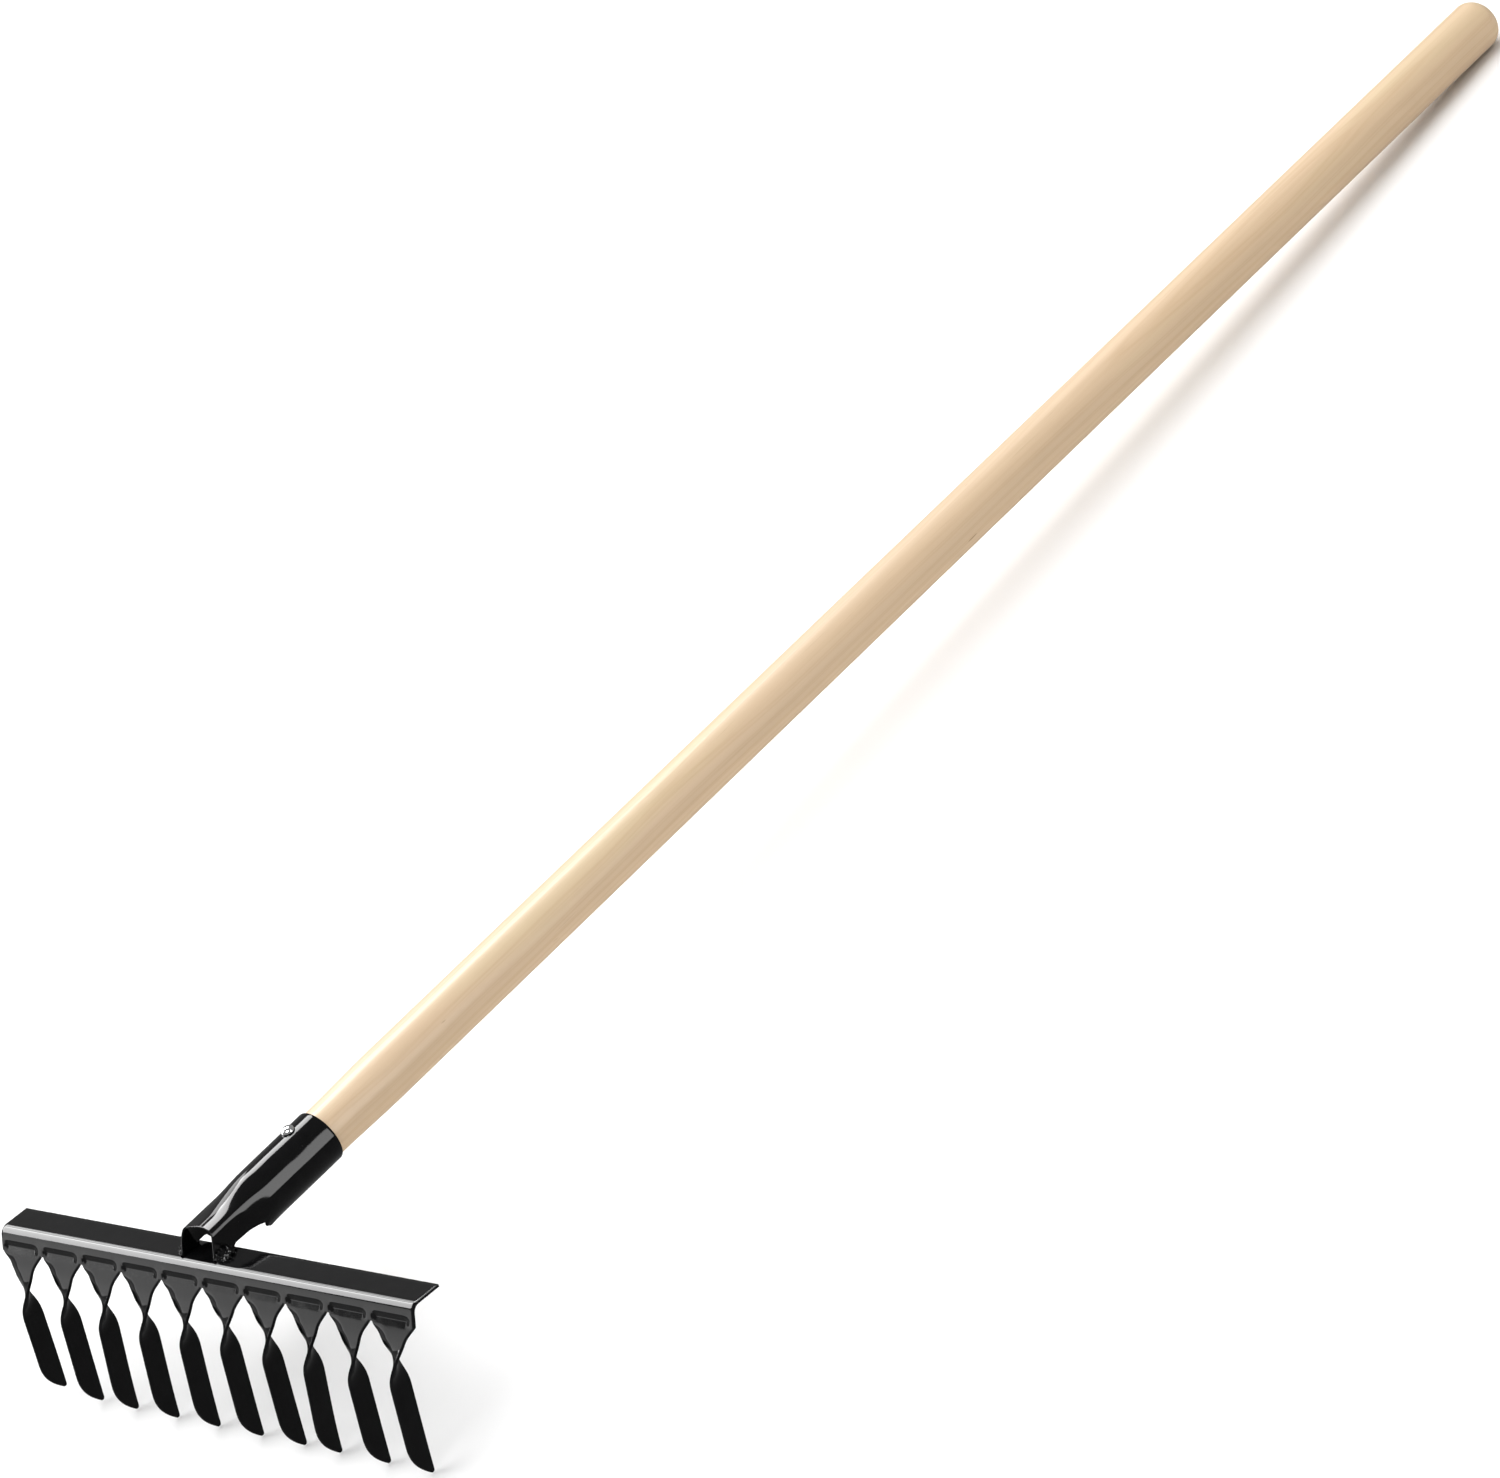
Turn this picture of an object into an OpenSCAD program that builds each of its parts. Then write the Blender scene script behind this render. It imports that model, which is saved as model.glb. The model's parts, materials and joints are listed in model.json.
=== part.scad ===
// Garden rake: a bar and twisted tines stamped from one steel sheet, a rolled steel socket
// welded to the bar, and a round wooden handle held in the socket by one dome-headed nail.
// It lies on its tine tips and on the far end of the handle. +X runs along the bar, +Y from
// the head to the free end of the handle and +Z up. All lengths are in millimetres.

/* [Stamped head] */
// Number of tines
tine_count = 10; // [6:1:12]
// Distance from one tine to the next
tine_pitch = 30; // [28:1:36]
// Thickness of the head's sheet steel
sheet = 1.5; // [1.2:0.1:1.8]
// Flat width of the flange that carries the socket
flange_w = 12.8; // [12:0.2:16]
// Radius of the bend between flange and web, at the middle of the sheet
bend_r = 4.25; // [3.5:0.25:5]
// Height of the web above the pressed pocket
web_h = 3.4; // [3:0.1:5]
// Height of the pressed pocket above the tine roots
pocket_h = 3.45; // [3:0.05:5]

/* [Tines] */
// Width of the flat blade
blade_w = 10.4; // [9:0.2:11]
// Length of a tine, from the valley to its tip, along the strip
tine_len = 69; // [60:0.1:76]
// Length over which the root narrows to the blade's width
root_len = 18; // [15:1:20]
// Distance from the valley to the start of the quarter turn
twist_from = 6; // [5:0.5:8]
// Distance from the valley to the end of the quarter turn
twist_to = 29.5; // [27:0.5:32]
// Length of the curved front edge at the tip
tip_curve = 16.3; // [12:0.1:18]

/* [Socket] */
// Sideways distance of the socket and the handle from the middle of the bar
socket_side = -3; // [-10:0.5:10]
// Outer diameter of the rolled tube
socket_d = 25.6; // [25.6:0.2:27]
// Thickness of the socket's sheet steel
socket_wall = 1; // [0.8:0.1:1.2]
// Length of the closed tube that holds the handle
tube_len = 50; // [46:1:52]
// Distance from the axis to the open channel's left wall, outside
channel_left = 13.4; // [10:0.1:13.6]
// Distance from the axis to the open channel's right wall, outside
channel_right = 10.5; // [9:0.1:12]
// Height of the channel's outer top above the handle's axis
channel_top = 9.8; // [9:0.2:11]
// Distance from the rim to the top of the channel's mouth
mouth_at = 73.5; // [72:0.5:76]
// Gap at the rolled seam, along the underside
seam = 0.6; // [0.4:0.1:1]

/* [Handle] */
// Diameter of the handle
handle_d = 25; // [24.6:0.1:25.4]
// Length of the handle outside the socket
handle_len = 856; // [600:1:1200]
// Length of the slight taper outside the socket's rim
taper_len = 45; // [30:1:60]
// Length of the handle's domed end
dome_len = 10; // [8:1:12]
// Length of the handle inside the socket
seat_len = 41; // [40:1:49]

/* [Nail] */
// Diameter of the nail's domed head
nail_head_d = 6; // [5:0.5:7]
// Diameter of the nail's shank
nail_d = 2.8; // [2.4:0.1:3]
// Length of the shank
nail_len = 17; // [12:1:20]
// Distance from the socket's rim to the nail
nail_at = 12.5; // [9:0.5:15]

/* [Hidden] */
// Angles of the sheet's path, measured down from straight ahead
flange_angle = -5.7;
web_angle = 57;
pocket_angle = 80;
root_angle = 57.5;
// Rear edge of the flange, at the middle of the sheet, from the middle of the socket's rim
flange_rear = [-67.8, -4.95];
bend_steps = 8;
// Small gap between neighbouring roots at the top of each valley
valley_gap = 0.5;
// Angle of the tine's path at some distances from the valley
TINE_ANGLES = [[0, root_angle], [1, 36], [4, 43], [8, 63], [13, 64], [18, 73.2], [90, 73.2]];
twist_angle = 90;
// Sideways lean of each tine's tip, from the first tine to the last, and where the lean starts
TINE_LEAN = [3, 0.5, -3.4, -2.8, -2.4, -0.8, 0, -4.8, -0.6, -0.6];
lean_from = 8;
flare_power = 2.2;
tip_power = 2.8;
tip_w = 0.6;
coarse_step = 1.5;
blade_steps = 3;
tip_steps = 7;

tube_r = socket_d / 2;
bore_r = tube_r - socket_wall;
// Backward slope of the channel's mouth, top to foot, as run over height
mouth_slope = 0.53;
// How far the channel's own walls start inside the tube, so that both are one piece
tube_lap = 0.6;
lap_inset = 0.05;
arch_steps = 20;
wall_steps = 2;
rear_stations = 5;
front_stations = 4;
channel_power = 4.5;
contact_gap = 0.02;

// Radial clearance of the handle in the bore, and of the nail in the wood
seat_gap = 0.08;
nail_gap = 0.02;
rim_handle_r = bore_r - 0.1;
dome_steps = 10;
seat_chamfer = 1;
nail_head_h = 2.4;
nail_point = 3;

// Weld beads beside the channel's feet, left then right
bead_start = [4.2, 0.6];
bead_len = [8.4, 12];
bead_w = [6, 6.4];
bead_h = 4.2;
bead_lumps = 4;
bead_ripple = 0.1;
bead_rings = 16;
bead_arc = 6;
bead_end = 0.35;
// Exponent of the bead's round, 2 for a true circle and less for a flatter face
bead_fullness = 1.7;

bar_len = tine_count * tine_pitch;

// ---- paths ----
function heading(a) = [-cos(a), -sin(a)];
function outward(a) = [-sin(a), cos(a)];
function ease(u) = let (v = max(0, min(1, u))) v * v * (3 - 2 * v);
function mix(a, b, u) = a + (b - a) * u;

// Path of the bar's sheet as steps of [length, angle]
bend_len = bend_r * (web_angle - flange_angle) * PI / 180;
BAR_STEPS = concat(
    [[flange_w, flange_angle]],
    [for (i = [1 : bend_steps])
        [bend_len / bend_steps, mix(flange_angle, web_angle, (i - 0.5) / bend_steps)]],
    [[web_h, web_angle], [pocket_h, pocket_angle]]);

function walk(steps, p, i = 0) = i == len(steps)
    ? [p]
    : concat([p], walk(steps, p + steps[i][0] * heading(steps[i][1]), i + 1));

// Angle of the sheet at each point of the path, halfway between its neighbours
function path_angle(steps, i, last) = i == 0 ? steps[0][1]
    : i == len(steps) ? last
    : (steps[i - 1][1] + steps[i][1]) / 2;

BAR_PATH = walk(BAR_STEPS, flange_rear);
valley = BAR_PATH[len(BAR_PATH) - 1];

// Distances along a tine at which it has a section
blade_from = tine_len - tip_curve;
TINE_S = concat(
    [for (s = [0 : coarse_step : twist_to + coarse_step]) s],
    [for (i = [1 : blade_steps]) mix(twist_to + coarse_step, blade_from, i / blade_steps)],
    [for (i = [1 : tip_steps]) mix(blade_from, tine_len, sin(90 * i / tip_steps))]);

function tine_angle(s) = lookup(s, TINE_ANGLES);
TINE_STEPS = [for (i = [1 : len(TINE_S) - 1])
    [TINE_S[i] - TINE_S[i - 1], tine_angle((TINE_S[i] + TINE_S[i - 1]) / 2)]];
TINE_PATH = walk(TINE_STEPS, valley);

// Half the strip's width, which narrows from the full pitch at the valley to the blade
function strip_half(s) = blade_w / 2
    + ((tine_pitch - valley_gap - blade_w) / 2) * pow(max(0, 1 - s / root_len), flare_power);
// Where the front edge is, once the tip curves back to the rear edge
function front_half(s) = let (u = max(0, (s - blade_from) / tip_curve))
    strip_half(s) - (2 * strip_half(s) - tip_w) * pow(u, tip_power);
function lean_at(i, s) = TINE_LEAN[i % len(TINE_LEAN)]
    * ease((s - lean_from) / (tine_len - lean_from));
function twist_at(s) = twist_angle * ease((s - twist_from) / (twist_to - twist_from));

// ---- placing: the handle's axis slopes down so that the tips and the far end touch the floor ----
tip_mid = TINE_PATH[len(TINE_PATH) - 1];
tip_rear = tip_mid - (blade_w / 2) * outward(tine_angle(tine_len));
tilt = atan2(-handle_d / 2 - tip_rear[1], handle_len - dome_len - tip_rear[0]);
function tilted(p) = [p[0] * cos(tilt) + p[1] * sin(tilt), -p[0] * sin(tilt) + p[1] * cos(tilt)];
// Points that can be lowest or foremost, as [y, z] along the handle
EDGE_POINTS = concat(
    [for (k = [0 : len(TINE_S) - 1], side = [-1, 1])
        TINE_PATH[k] + outward(tine_angle(TINE_S[k]))
            * sin(twist_at(TINE_S[k])) * (side > 0 ? front_half(TINE_S[k]) : -strip_half(TINE_S[k]))],
    [for (k = [0 : dome_steps]) dome_point(k) * [[0, -1], [1, 0]]]);
function dome_point(k) = let (a = 90 * k / dome_steps)
    [handle_d / 2 * cos(a), handle_len - dome_len + dome_len * sin(a)];
floor_z = min([for (p = EDGE_POINTS) tilted(p)[1]]);
front_y = min([for (p = EDGE_POINTS) tilted(p)[0]]);
back_y = max([for (k = [0 : dome_steps]) let (p = dome_point(k)) tilted([p[1], p[0]])[0]]);

module placed() {
    translate([0, -(front_y + back_y) / 2, -floor_z]) rotate([-tilt, 0, 0]) children();
}

// The same for pieces drawn about the handle's axis
module on_axis() {
    placed() translate([socket_side, 0, 0]) children();
}

// Closed skin over rings of points that all have the same even count. Each end is closed by a
// strip between the first and the second half of its ring.
module skin(rings) {
    n = len(rings[0]);
    m = len(rings);
    sides = [for (i = [0 : m - 2], j = [0 : n - 1], t = [0, 1])
        let (a = i * n + j, b = i * n + (j + 1) % n, c = a + n, d = b + n)
        t == 0 ? [a, b, d] : [a, d, c]];
    ends = [for (k = [0 : n / 2 - 2], e = [0, 1])
        let (o = e * (m - 1) * n, q = [o + k, o + k + 1, o + n - 2 - k, o + n - 1 - k])
        e == 1 ? q : [q[3], q[2], q[1], q[0]]];
    polyhedron(points = [for (r = rings) each r], faces = concat(sides, ends), convexity = 8);
}

// ---- stamped head ----
module tine_bar() {
    n = len(BAR_PATH);
    outer = [for (i = [0 : n - 1]) BAR_PATH[i] + outward(path_angle(BAR_STEPS, i, root_angle)) * sheet / 2];
    inner = [for (i = [n - 1 : -1 : 0])
        BAR_PATH[i] - outward(path_angle(BAR_STEPS, i, root_angle)) * sheet / 2];
    color("#1d1d1e") placed() translate([-bar_len / 2, 0, 0])
        rotate([90, 0, 90]) linear_extrude(bar_len) polygon(concat(outer, inner));
}

// One section of a tine: the strip's width turns from along the bar to fore and aft
function tine_ring(x, k) =
    let (s = TINE_S[k], p = TINE_PATH[k], o = outward(tine_angle(s)), t = twist_at(s),
         mid = [x, p[0], p[1]],
         across = [cos(t), o[0] * sin(t), o[1] * sin(t)],
         through = [-sin(t), o[0] * cos(t), o[1] * cos(t)] * sheet / 2,
         front = mid + across * front_half(s),
         rear = mid - across * strip_half(s))
    [front + through, rear + through, rear - through, front - through];

module tine(i) {
    x = (i - (tine_count - 1) / 2) * tine_pitch;
    color("#161617") placed()
        skin([for (k = [0 : len(TINE_S) - 1]) tine_ring(x + lean_at(i, TINE_S[k]), k)]);
}

function tine_name(i) = str("tine_", i < 9 ? "0" : "", i + 1);

// ---- socket ----
// Height of the flange's upper face, level behind its rear edge
flange_top = flange_rear + outward(flange_angle) * sheet / 2;
function foot_z(y) = flange_top[1] + max(0, flange_top[0] - y) * tan(-flange_angle) + contact_gap;
// Where the mouth is at height z
function mouth_y(z) = -mouth_at - (channel_top - z) * mouth_slope;
function station_y(u, z) = mix(-tube_len + tube_lap, mouth_y(z), u);
foot_guess = flange_top[1] + 1;
flange_u = (flange_top[0] + tube_len - tube_lap) / (mouth_y(foot_guess) + tube_len - tube_lap);
STATIONS = concat(
    [for (i = [0 : rear_stations]) flange_u * i / rear_stations],
    [for (i = [1 : front_stations]) mix(flange_u, 1, i / front_stations)]);

function channel_half(side) = side < 0 ? channel_left : channel_right;

// Half of a section from the foot to the crown; side is -1 or 1, grow moves it off mid-wall
function arch(u, side, grow) =
    let (m = ease(u / flange_u),
         inset = (1 - m) * lap_inset * sign(grow),
         rx = mix(tube_r, channel_half(side), m) - socket_wall / 2 + grow - inset,
         rz = mix(tube_r, channel_top, m) - socket_wall / 2 + grow - inset,
         power = 2 / mix(2, channel_power, m),
         low = foot_z(station_y(u, foot_guess)))
    concat(
        [for (i = [0 : wall_steps - 1])
            let (z = low * (1 - i / wall_steps),
                 x = mix(sqrt(rx * rx - z * z), rx, m))
            [side * x, station_y(u, z), z]],
        [for (i = [0 : arch_steps / 2 - (side > 0 ? 1 : 0)])
            let (a = 180 * i / arch_steps, z = rz * pow(sin(a), power))
            [side * rx * pow(max(0, cos(a)), power), station_y(u, z), z]]);
function reversed(v) = [for (i = [len(v) - 1 : -1 : 0]) v[i]];
function channel_ring(u) = concat(
    arch(u, -1, socket_wall / 2), reversed(arch(u, 1, socket_wall / 2)),
    arch(u, 1, -socket_wall / 2), reversed(arch(u, -1, -socket_wall / 2)));

module socket() {
    nail_hole_r = nail_d / 2 + 0.1;
    color("#19191a") on_axis() difference() {
        union() {
            difference() {
                rotate([90, 0, 0]) cylinder(r = tube_r, h = tube_len, $fn = 96);
                translate([0, 1, 0]) rotate([90, 0, 0]) cylinder(r = bore_r, h = tube_len + 2, $fn = 96);
            }
            skin([for (u = STATIONS) channel_ring(u)]);
        }
        translate([-seam / 2, -tube_len - 1, -tube_r - 1]) cube([seam, tube_len + 2, socket_wall + 2]);
        translate([0, -nail_at, 0]) cylinder(r = nail_hole_r, h = tube_r + 1, $fn = 32);
    }
}

// A lumpy bead laid in the corner between the channel's wall and the flange
function bead_ring(side, k) =
    let (u = k / bead_rings,
         end = max(bead_end, sqrt(max(0, 1 - pow(2 * u - 1, 2)))),
         fat = end * (1 - bead_ripple * pow(sin(180 * bead_lumps * u), 2)),
         y = flange_top[0] - bead_start[side] - bead_len[side] * u,
         dir = side == 0 ? -1 : 1,
         x = channel_half(dir) + contact_gap)
    concat([[dir * x, y, foot_z(y)]],
        [for (i = [0 : bead_arc])
            let (a = 90 * i / bead_arc, q = 2 / bead_fullness)
            [dir * (x + bead_w[side] * fat * pow(cos(a), q)), y, foot_z(y) + bead_h * fat * pow(sin(a), q)]]);

module weld_bead(side) {
    color("#1b1b1c") on_axis() skin([for (k = [0 : bead_rings])
        side == 0 ? reversed(bead_ring(side, k)) : bead_ring(side, k)]);
}

// ---- handle and nail ----
module handle() {
    outline = concat(
        [[0, -seat_len], [bore_r - seat_gap - seat_chamfer, -seat_len],
         [bore_r - seat_gap, -seat_len + seat_chamfer], [bore_r - seat_gap, -1],
         [rim_handle_r, 0], [handle_d / 2, taper_len]],
        [for (k = [0 : dome_steps - 1]) dome_point(k)], [[0, handle_len]]);
    color("#d9b98c") on_axis() difference() {
        rotate([-90, 0, 0]) rotate_extrude($fn = 96) polygon(outline);
        translate([0, -nail_at, tube_r - nail_len])
            cylinder(r = nail_d / 2 + nail_gap, h = nail_len, $fn = 32);
    }
}

module nail() {
    head = [for (k = [0 : dome_steps - 1])
        let (a = 90 * k / dome_steps) [nail_head_d / 2 * cos(a), nail_head_h * sin(a)]];
    outline = concat(
        [[0, -nail_len + 1], [nail_d / 2, -nail_len + nail_point], [nail_d / 2, 0]],
        head, [[0, nail_head_h]]);
    color("#b9bbbd") on_axis() translate([0, -nail_at, tube_r + contact_gap])
        rotate_extrude($fn = 48) polygon(outline);
}

// ---- assembly ----
tine_bar();
for (i = [0 : tine_count - 1])
    tine(i);
socket();
weld_bead(0);  // weld_left
weld_bead(1);  // weld_right
handle();
nail();
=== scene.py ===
"""Garden rake: an enamelled steel head with twisted tines, a rolled socket, and a wooden handle.

Shapes are worked out in millimetres in the handle's own frame: the origin is the middle of the
socket's rim, X runs along the bar, Y runs up the handle and Z is up. PLACE puts them in the frame.
"""

import json
import math

import bmesh
import bpy
from mathutils import Matrix, Vector, noise


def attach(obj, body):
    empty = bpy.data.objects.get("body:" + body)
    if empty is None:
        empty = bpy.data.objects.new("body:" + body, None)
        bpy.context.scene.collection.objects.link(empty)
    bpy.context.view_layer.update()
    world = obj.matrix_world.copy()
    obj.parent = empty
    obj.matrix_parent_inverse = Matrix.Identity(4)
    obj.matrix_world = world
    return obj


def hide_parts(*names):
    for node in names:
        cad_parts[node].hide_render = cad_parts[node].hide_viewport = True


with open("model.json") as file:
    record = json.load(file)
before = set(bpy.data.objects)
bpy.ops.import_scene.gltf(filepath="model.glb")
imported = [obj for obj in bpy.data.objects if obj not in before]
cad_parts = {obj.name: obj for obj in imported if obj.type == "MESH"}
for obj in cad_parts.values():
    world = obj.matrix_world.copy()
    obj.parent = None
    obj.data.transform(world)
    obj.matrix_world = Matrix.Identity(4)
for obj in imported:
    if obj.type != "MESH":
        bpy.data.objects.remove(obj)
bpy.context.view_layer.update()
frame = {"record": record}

MM = 0.001

# ---- the handle's frame, from the mount on the handle ----
GRIP_FROM_RIM = 845.0
grip = next(m for m in frame["record"]["mounts"] if m["name"] == "handle_grip")
AXIS = Vector(grip["axis"]).normalized()
RIM = Vector(grip["pos_m"]) - AXIS * GRIP_FROM_RIM * MM
SIDE = Vector((1, 0, 0))
UP = SIDE.cross(AXIS)
PLACE = Matrix.Translation(RIM) @ Matrix((SIDE, AXIS, UP)).transposed().to_4x4()

# ---- sizes, in millimetres ----
TINES = 10
PITCH = 30.0
BAR_SIDE = 3.0
SHEET = 1.5
EDGE_ROUND = 0.3
FLANGE_REAR = (-67.8, -4.95)
FLANGE_W = 12.8
FLANGE_ANGLE = -5.7
CREASE_ANGLE = 2.0
WEB_ANGLE = 57.0
BEND_R = 4.7
POCKET_ANGLE = 80.0
WEB_H = 1.8
POCKET_LIP_ANGLE = 45.0
ROOT_LINE = (-88.1, -12.4)
POCKET_LEFT = -13.2
POCKET_RIGHT = 11.6
POCKET_SOFT = 1.5
POCKET_CORNER = 1.6
VALLEY_S = -1.0
BLADE_W = 10.4
ROOT_LEN = 19.0
FLARE_POWER = 2.2
VALLEY_R = 1.3
VALLEY_FADE = 1.5
OUTER_EASE = 0.03
TWIST_FROM = 7.5
TWIST_TO = 27.5
TINE_LEN = 67.1
TIP_FROM = 51.0
TIP_POWER = 2.7
TIP_ROUND = 1.2
TIP_LEFT = 0.5
SOCKET_R = 12.8
SOCKET_WALL = 1.0
TUBE_LEN = 50.0
CHANNEL_LEFT = 13.5
CHANNEL_RIGHT = 10.5
CHANNEL_TOP = 9.8
MOUTH_AT = 73.5
MOUTH_SLOPE = 0.53
HANDLE_R = 12.5
HANDLE_LEN = 855.9
RIM_HANDLE_R = 11.7
TAPER_LEN = 45.0
DOME_LEN = 10.0
SEAT_LEN = 41.0
NAIL_AT = 12.5
NAIL_HEAD_R = 3.3
NAIL_HEAD_H = 2.4


# ---- small maths ----
def mix(a, b, u):
    return a + (b - a) * u


def ease(u):
    """Smooth step from 0 to 1."""
    u = max(0.0, min(1.0, u))
    return u * u * (3 - 2 * u)


def between(u, stops):
    """Straight-line reading of (place, value) stops."""
    if u <= stops[0][0]:
        return stops[0][1]
    for (a, va), (b, vb) in zip(stops, stops[1:]):
        if u <= b:
            return mix(va, vb, (u - a) / (b - a))
    return stops[-1][1]


def heading(angle):
    """Forwards direction in (y, z), this many degrees below level."""
    a = math.radians(angle)
    return (-math.cos(a), -math.sin(a))


def outward(angle):
    """The sheet's upper, front side where it runs at this angle."""
    a = math.radians(angle)
    return (-math.sin(a), math.cos(a))


def walk(start, steps):
    """Points of a path from steps of (length, angle)."""
    points = [start]
    for length, angle in steps:
        h = heading(angle)
        y, z = points[-1]
        points.append((y + h[0] * length, z + h[1] * length))
    return points


def along(points, lengths, s):
    """The point at distance s on a path with the given running lengths."""
    s = max(0.0, min(lengths[-1], s))
    for i in range(1, len(points)):
        if s <= lengths[i] or i == len(points) - 1:
            u = (s - lengths[i - 1]) / (lengths[i] - lengths[i - 1])
            return tuple(mix(p, q, u) for p, q in zip(points[i - 1], points[i]))
    return points[-1]


def running(points):
    """Distance along a path at each of its points."""
    total = [0.0]
    for p, q in zip(points, points[1:]):
        total.append(total[-1] + math.dist(p, q))
    return total


# ---- pieces ----
def finish_piece(name, verts, faces, slot, nodes, material, sharp=40.0):
    """Makes a mesh piece that rides on the body and stands for CAD nodes."""
    mesh = bpy.data.meshes.new(name)
    mesh.from_pydata([PLACE @ (Vector(v) * MM) for v in verts], [], faces)
    mesh.validate()
    piece = bpy.data.objects.new(name, mesh)
    bpy.context.collection.objects.link(piece)
    bm = bmesh.new()
    bm.from_mesh(piece.data)
    bmesh.ops.remove_doubles(bm, verts=bm.verts, dist=1e-7)
    bmesh.ops.recalc_face_normals(bm, faces=bm.faces)
    for face in bm.faces:
        face.smooth = True
    for edge in bm.edges:
        edge.smooth = len(edge.link_faces) == 2 and edge.calc_face_angle() < math.radians(sharp)
    bm.to_mesh(piece.data)
    bm.free()
    piece.data.materials.append(material)
    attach(piece, "root")
    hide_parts(*nodes)
    return piece


RIM_SHARE = 0.45
CORNER_SHARE = 0.9


def sheet_solid(verts, faces, up, down, edge_round):
    """A sheet's closed solid: both faces at these heights along its normal, and a rounded rim."""
    bm = bmesh.new()
    made = [bm.verts.new(v) for v in verts]
    for face in faces:
        bm.faces.new([made[k] for k in face])
    bm.normal_update()
    bm.verts.index_update()
    out = {}
    reach = {}
    for edge in bm.edges:
        if len(edge.link_faces) != 1:
            continue
        loop = edge.link_loops[0]
        way = (loop.link_loop_next.vert.co - loop.vert.co).normalized()
        for vert in edge.verts:
            out[vert.index] = out.get(vert.index, Vector()) + way.cross(loop.face.normal)
    for k in out:
        inner = [e.calc_length() for e in made[k].link_edges if len(e.link_faces) > 1]
        every = [e.calc_length() for e in made[k].link_edges]
        reach[k] = min(edge_round, RIM_SHARE * min(inner or every))
        out[k].normalize()
    solid, high, low, rim = [], {}, {}, {}
    half = (up - down) / 2
    for vert in bm.verts:
        k, n, r = vert.index, vert.normal, reach.get(vert.index, 0.0)
        b = out.get(k, Vector())
        middle = vert.co + n * (up + down) / 2
        corner = min(r, half * CORNER_SHARE)
        high[k] = len(solid)
        solid.append(middle + n * half - b * r)
        low[k] = len(solid)
        solid.append(middle - n * half - b * r)
        if k in out:
            rim[k] = [high[k]]
            for turn, side in ((45, 1), (90, 1), (90, -1), (45, -1)):
                a = math.radians(turn)
                rim[k].append(len(solid))
                solid.append(middle - b * (r - r * math.sin(a))
                             + n * side * (half - corner + corner * math.cos(a)))
            rim[k].append(low[k])
    skin = [tuple(high[v.index] for v in f.verts) for f in bm.faces]
    skin += [tuple(low[v.index] for v in reversed(f.verts)) for f in bm.faces]
    for edge in bm.edges:
        if len(edge.link_faces) == 1:
            loop = edge.link_loops[0]
            a, b = rim[loop.vert.index], rim[loop.link_loop_next.vert.index]
            skin += [(b[i], a[i], a[i + 1], b[i + 1]) for i in range(len(a) - 1)]
    bm.free()
    return solid, skin


# ---- the stamped head ----
BEND_STEPS = 16
bend_piece = BEND_R * math.radians(WEB_ANGLE - CREASE_ANGLE) / BEND_STEPS
bend_path = walk(FLANGE_REAR, [(FLANGE_W, FLANGE_ANGLE)] + [
    (bend_piece, mix(CREASE_ANGLE, WEB_ANGLE, (i + 0.5) / BEND_STEPS)) for i in range(BEND_STEPS)])
bend_end = bend_path[-1]
BEND_RUN = running(bend_path)
BEND_S = BEND_RUN[-1]

ridge = [bend_end, ROOT_LINE]
web_end = walk(bend_end, [(WEB_H, WEB_ANGLE)])[1]
# The pocket's steep face is as long as it takes for its lip to end on the line of the roots
steep, lip = heading(POCKET_ANGLE), heading(POCKET_LIP_ANGLE)
reach_y, reach_z = ROOT_LINE[0] - web_end[0], ROOT_LINE[1] - web_end[1]
pocket_h = (reach_y * lip[1] - reach_z * lip[0]) / (steep[0] * lip[1] - steep[1] * lip[0])
pocket = walk(bend_end, [(WEB_H, WEB_ANGLE), (pocket_h, POCKET_ANGLE)]) + [ROOT_LINE]
RIDGE_RUN = running(ridge)
POCKET_RUN = running(pocket)
RIDGE_S = RIDGE_RUN[-1]
POCKET_TOP = WEB_H / POCKET_RUN[-1]
CORNER_BLUR = 0.035
BLUR_TAPS = 5
BLUR_FADE = 8


def pocket_point(v):
    """A point down the middle of a pocket, with its creases slightly rounded."""
    y = z = 0.0
    for i in range(BLUR_TAPS):
        fade = min(1, (1 - v) * BLUR_FADE, v * BLUR_FADE)
        w = v + CORNER_BLUR * (i / (BLUR_TAPS - 1) - 0.5) * 2 * fade
        p = along(pocket, POCKET_RUN, w * POCKET_RUN[-1])
        y += p[0] / BLUR_TAPS
        z += p[1] / BLUR_TAPS
    return y, z


def pocket_mask(x, v):
    """1 inside a pocket and 0 on the ridges; its upper corners are rounded."""
    rise = max(0.0, min(1.0, (v - POCKET_TOP) / (1 - POCKET_TOP)))
    pull = POCKET_CORNER * (1 - rise) ** 2
    left = ease((x - POCKET_LEFT - pull) / POCKET_SOFT + 0.5)
    right = ease((POCKET_RIGHT - pull - x) / POCKET_SOFT + 0.5)
    return left * right


def bar_point(x, s):
    """The middle of the bar's sheet at distance s from the flange's rear edge."""
    if s <= BEND_S:
        return (x, *along(bend_path, BEND_RUN, s))
    v = (s - BEND_S) / RIDGE_S
    a = along(ridge, RIDGE_RUN, v * RIDGE_S)
    b = pocket_point(v)
    local = (x + TINES * PITCH / 2) % PITCH - PITCH / 2
    m = pocket_mask(local, v)
    return (x, mix(a[0], b[0], m), mix(a[1], b[1], m))


# Angle of a tine's path at these distances from the line of the roots
TINE_ANGLES = [(0, 46), (3, 47), (7, 61), (12, 63.5), (17, 73.2)]
TINE_STEP = 0.5
tine_steps = [(TINE_STEP, between((i + 0.5) * TINE_STEP, TINE_ANGLES))
              for i in range(round(TINE_LEN / TINE_STEP) + 2)]
tine_path = walk(ROOT_LINE, tine_steps)
TINE_RUN = running(tine_path)
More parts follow.
